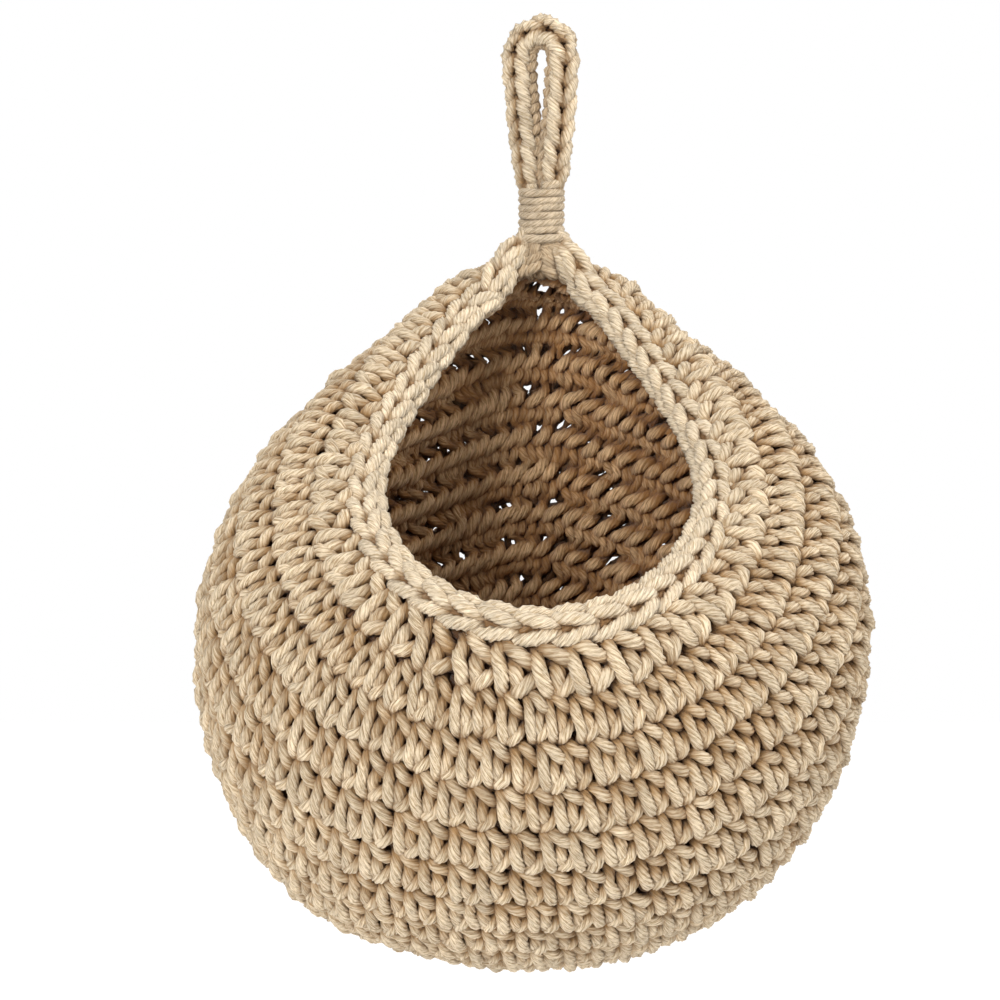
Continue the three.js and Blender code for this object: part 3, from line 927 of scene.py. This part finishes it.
# A long strand's control points: shares of its place sideways and of the gather's depth there, and
# millimetres back and up from the binding's foot
LONG_ACROSS = np.array([0.55, 0.75, 0.95, 1.1, 1.15])
LONG_DEPTH = np.array([0.5, 1.0, 1.0, 1.0, 1.0])
LONG_BACK = np.array([0.0, 2.0, -0.5, -0.5, 1.0])
LONG_RISE = np.array([6.0, -1.0, -8.0, -11.0, -13.0])
# The rows begin above the binding's foot. Each is wider and further forward than the one before, and lies a
# share of a row higher on the left and lower on the right. Strands further out begin lower, by a slope
GATHER_ROWS = 4
GATHER_ROW_RADIUS = 2.2
GATHER_SHIFT = 0.7
ROW_TOP = 2.0
ROW_HEIGHT = 3.1
ROW_SIDE_SHARE = 0.2
ROW_SLOPE = 0.25
ROW_WIDTH = 0.75
ROW_WIDENING = 0.07
ROW_FORWARD = 0.8
# The two strands on each side of a row: how far out from the middle they begin, and the places of their
# control points, in millimetres out from there, backwards and down
ROW_BEGINNINGS = (-0.6, 4.6)
ROW_ACROSS = np.array([0.0, 2.4, 5.0, 6.4])
ROW_BACK = np.array([1.6, -1.6, -1.8, 1.4])
ROW_DROP = np.array([-0.4, 1.4, 3.8, 5.6])


def gather_front(x):
    return -GATHER_DEPTH * (1 - GATHER_ROUNDNESS * (x / GATHER_HALF_WIDTH) ** 2)


for index in range(GATHER_STRANDS):
    x = GATHER_HALF_WIDTH * (2 * index / (GATHER_STRANDS - 1) - 1)
    depth = LONG_DEPTH * gather_front(x) + LONG_BACK
    controls = np.stack([LONG_ACROSS * x, depth, SWING_HEIGHT + LONG_RISE], 1)
    cord.add(spline(controls[None], 11), GATHER_BACK_RADIUS, tone=0.5, warm=0.8)

random = np.random.default_rng(GATHER_SEED + 1)
for row in range(GATHER_ROWS):
    for side in (-1, 1):
        for inner in ROW_BEGINNINGS:
            top = SWING_HEIGHT + ROW_TOP - ROW_HEIGHT * (row + ROW_SIDE_SHARE * side) - ROW_SLOPE * inner
            across = side * (ROW_WIDTH + ROW_WIDENING * row) * (inner + ROW_ACROSS)
            depth = gather_front(across) - ROW_FORWARD * row + ROW_BACK
            controls = np.stack([across, depth, top - ROW_DROP], 1)
            controls = controls + random.uniform(-GATHER_SHIFT, GATHER_SHIFT, controls.shape)
            cord.add(spline(controls[None], 9), GATHER_ROW_RADIUS, tone=0.74, warm=0.35, taper=0.3)
finish_piece(cord, "gather_cords", "neck_gather", "bag", wall_cotton)

# Camera at the photograph's viewing angle
SENSOR_WIDTH = 36
PICTURE_WIDTH = 1000
camera_data = bpy.data.cameras.new("camera")
camera_data.sensor_width = SENSOR_WIDTH
camera_data.lens = SENSOR_WIDTH * DISTANCE / SCALE / PICTURE_WIDTH
camera = bpy.data.objects.new("camera", camera_data)
camera.location = Vector(EYE * MM)
camera.rotation_euler = Euler((math.pi / 2 - ELEVATION, 0, 0))
bpy.context.scene.collection.objects.link(camera)
bpy.context.scene.camera = camera

# Stage: a pale floor well below the bag, white surroundings, a soft key light from the front left, a strong
# one from behind, and weaker lamps from above, from the right and from low in front
scene = bpy.context.scene
scene.view_settings.view_transform = "Standard"
AMBIENT = 0.47


def seen_directly(nodes, links):
    """1 for rays that show the background: from the camera, and off or through shiny things."""
    path = nodes.new("ShaderNodeLightPath")
    total = path.outputs["Is Camera Ray"]
    for label in ("Is Glossy Ray", "Is Transmission Ray"):
        most = nodes.new("ShaderNodeMath")
        most.operation = "MAXIMUM"
        links.new(total, most.inputs[0])
        links.new(path.outputs[label], most.inputs[1])
        total = most.outputs[0]
    return total


world = bpy.data.worlds.new("studio")
scene.world = world
world.use_nodes = True
nodes = world.node_tree.nodes
links = world.node_tree.links
background = nodes["Background"]
background.inputs["Color"].default_value = (1, 1, 1, 1)
strength = nodes.new("ShaderNodeMapRange")
strength.inputs["To Min"].default_value = AMBIENT
strength.inputs["To Max"].default_value = 1.0
links.new(seen_directly(nodes, links), strength.inputs["Value"])
links.new(strength.outputs["Result"], background.inputs["Strength"])

# The floor shows as white in the picture, apart from a small share that keeps the shadow
FLOOR_HEIGHT = -0.8
FLOOR_REACH = 3
FLOOR_WHITE = 1.1
FLOOR_WHITE_SHARE = 0.92
floor_mesh = bpy.data.meshes.new("floor")
corners = [(x * FLOOR_REACH, y * FLOOR_REACH, FLOOR_HEIGHT) for x, y in ((-1, -1), (1, -1), (1, 1), (-1, 1))]
floor_mesh.from_pydata(corners, [], [(0, 1, 2, 3)])
floor = bpy.data.objects.new("floor", floor_mesh)
scene.collection.objects.link(floor)
floor_material = bpy.data.materials.new("floor_pale")
floor_material.use_nodes = True
nodes = floor_material.node_tree.nodes
links = floor_material.node_tree.links
plain = nodes["Principled BSDF"]
plain.inputs["Base Color"].default_value = (0.9, 0.9, 0.9, 1)
plain.inputs["Roughness"].default_value = 0.8
white = nodes.new("ShaderNodeEmission")
white.inputs["Strength"].default_value = FLOOR_WHITE
pick = nodes.new("ShaderNodeMixShader")
share = nodes.new("ShaderNodeMath")
share.operation = "MULTIPLY"
share.inputs[1].default_value = FLOOR_WHITE_SHARE
links.new(seen_directly(nodes, links), share.inputs[0])
links.new(share.outputs[0], pick.inputs["Fac"])
links.new(plain.outputs[0], pick.inputs[1])
links.new(white.outputs[0], pick.inputs[2])
links.new(pick.outputs[0], nodes["Material Output"].inputs["Surface"])
floor_mesh.materials.append(floor_material)


BAG_MIDDLE = Vector((0, -0.086, -0.22))


def lamp(name, place, size, watts):
    data = bpy.data.lights.new(name, "AREA")
    data.shape = "DISK"
    data.size = size
    data.energy = watts
    obj = bpy.data.objects.new(name, data)
    obj.location = place
    obj.rotation_euler = (BAG_MIDDLE - obj.location).to_track_quat("-Z", "Y").to_euler()
    scene.collection.objects.link(obj)


lamp("key", (-0.8, -1.6, 0.5), 0.8, 25)
lamp("top", (0.4, -0.4, 1.1), 0.7, 8)
lamp("right", (1.3, -0.6, 0.6), 0.8, 13)
lamp("low", (-0.2, -1.6, -0.7), 1.0, 9)
lamp("back", (-0.1, 1.6, 0.5), 1.0, 32)
